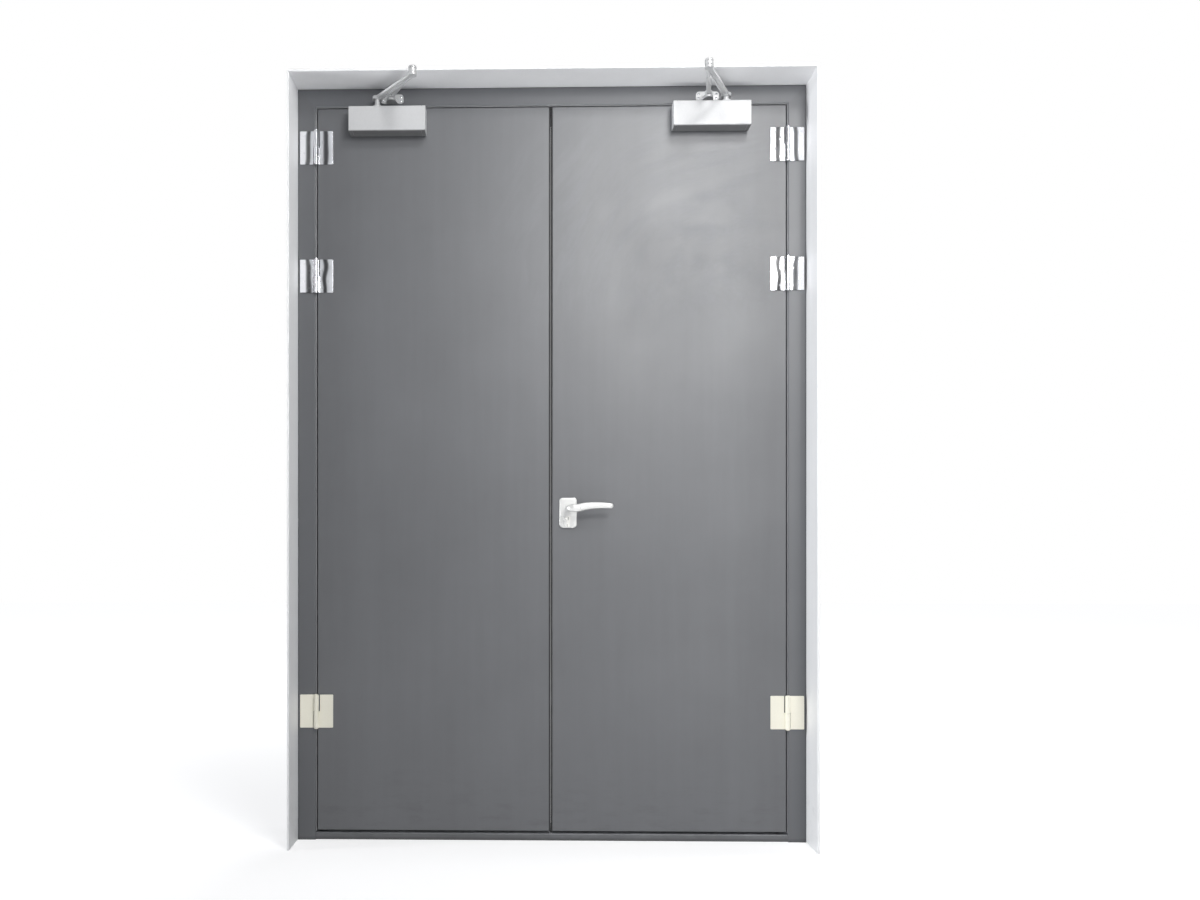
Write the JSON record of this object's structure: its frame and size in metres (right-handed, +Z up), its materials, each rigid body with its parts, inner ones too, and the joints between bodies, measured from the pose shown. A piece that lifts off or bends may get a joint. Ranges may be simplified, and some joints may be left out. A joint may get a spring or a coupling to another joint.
{
  "type": "double steel utility door",
  "caption": "Double-leaf flush steel door in a folded frame with sill and pale lining, butt hinges, two arm closers and a lever handle.",
  "frame": {"origin": "centre of the sill's underside on the floor, at mid width and mid depth of the frame", "axes": "+X to the right seen from the pull side, +Y from the pull side into the wall, +Z up"},
  "size_m": [1.542, 0.3213, 2.276],
  "materials": {
    "leaf_paint": "satin dark grey paint",
    "frame_paint": "satin dark grey paint",
    "sill_steel": "dark grey paint, worn",
    "seal_rubber": "matt black",
    "lining_paint": "pale grey paint",
    "leaf_core": "board core, hidden",
    "polished_hinge": "polished",
    "cream_hinge": "cream satin coating",
    "closer_body": "fine silver paint",
    "closer_arm": "silver paint",
    "handle": "satin",
    "cylinder_brass": "satin nickel over brass",
    "lock_steel": "brushed"
  },
  "bodies": {
    "frame": {"frame_head": "frame_paint", "head_lining": "lining_paint", "head_seal": "seal_rubber", "left_closer_shoe": "closer_arm", "left_hinge_bottom_frame_wing": "cream_hinge", "left_hinge_middle_frame_wing": "polished_hinge", "left_hinge_top_frame_wing": "polished_hinge", "left_jamb": "frame_paint", "left_lining": "lining_paint", "left_seal": "seal_rubber", "right_closer_shoe": "closer_arm", "right_hinge_bottom_frame_wing": "cream_hinge", "right_hinge_middle_frame_wing": "polished_hinge", "right_hinge_top_frame_wing": "polished_hinge", "right_jamb": "frame_paint", "right_lining": "lining_paint", "right_seal": "seal_rubber", "sill": "sill_steel"},
    "right_leaf": {"back_handle_plate": "handle", "front_handle_plate": "handle", "key_cylinder": "cylinder_brass", "lock_case": "lock_steel", "right_closer_body": "closer_body", "right_hinge_bottom_leaf_wing": "cream_hinge", "right_hinge_middle_leaf_wing": "polished_hinge", "right_hinge_top_leaf_wing": "polished_hinge", "right_leaf_back": "leaf_paint", "right_leaf_core": "leaf_core", "right_leaf_front": "leaf_paint", "right_meeting_seal": "seal_rubber"},
    "left_leaf": {"flush_bolts": "lock_steel", "left_closer_body": "closer_body", "left_hinge_bottom_leaf_wing": "cream_hinge", "left_hinge_middle_leaf_wing": "polished_hinge", "left_hinge_top_leaf_wing": "polished_hinge", "left_leaf_back": "leaf_paint", "left_leaf_core": "leaf_core", "left_leaf_front": "leaf_paint", "left_meeting_seal": "seal_rubber", "strike_plate": "lock_steel"},
    "lever_set": {"front_lever": "handle", "back_lever": "handle", "lever_spindle": "lock_steel"},
    "right_main_arm": {"right_main_arm": "closer_arm"},
    "right_forearm": {"right_forearm": "closer_arm"},
    "left_main_arm": {"left_main_arm": "closer_arm"},
    "left_forearm": {"left_forearm": "closer_arm"}
  },
  "joints": [
    {"name": "right_leaf_swing", "type": "hinge", "parent": "frame", "child": "right_leaf", "pos_m": [0.7075, -0.0625, 1.12], "axis": [0, 0, 1], "range_deg": [0, 90], "stiffness_Nm_per_rad": 10, "springref_deg": -20.05},
    {"name": "right_pinion_turn", "type": "hinge", "parent": "right_leaf", "child": "right_main_arm", "pos_m": [0.52, -0.083, 2.2265], "axis": [0, 0, 1], "range_deg": [-156.4, 0]},
    {"name": "right_elbow_turn", "type": "hinge", "parent": "right_main_arm", "child": "right_forearm", "pos_m": [0.43772, -0.25426, 2.2365], "axis": [0, 0, 1], "range_deg": [0, 98.98]},
    {"name": "left_leaf_swing", "type": "hinge", "parent": "frame", "child": "left_leaf", "pos_m": [-0.7075, -0.0625, 1.12], "axis": [0, 0, -1], "range_deg": [0, 90], "stiffness_Nm_per_rad": 10, "springref_deg": -20.05},
    {"name": "left_pinion_turn", "type": "hinge", "parent": "left_leaf", "child": "left_main_arm", "pos_m": [-0.519, -0.083, 2.2265], "axis": [0, 0, -1], "range_deg": [-144.07, 0]},
    {"name": "left_elbow_turn", "type": "hinge", "parent": "left_main_arm", "child": "left_forearm", "pos_m": [-0.39725, -0.22887, 2.2365], "axis": [0, 0, -1], "range_deg": [0, 102.64]},
    {"name": "lever_turn", "type": "hinge", "parent": "right_leaf", "child": "lever_set", "pos_m": [0.052, -0.03, 1], "axis": [0, 1, 0], "range_deg": [0, 40], "stiffness_Nm_per_rad": 1.5, "springref_deg": -20.05}
  ],
  "couplings": [
    {"joint": "right_pinion_turn", "follows": "right_leaf_swing", "ratio": -1.7377},
    {"joint": "right_elbow_turn", "follows": "right_leaf_swing", "ratio": 1.0998},
    {"joint": "left_pinion_turn", "follows": "left_leaf_swing", "ratio": -1.6007},
    {"joint": "left_elbow_turn", "follows": "left_leaf_swing", "ratio": 1.1404}
  ]
}
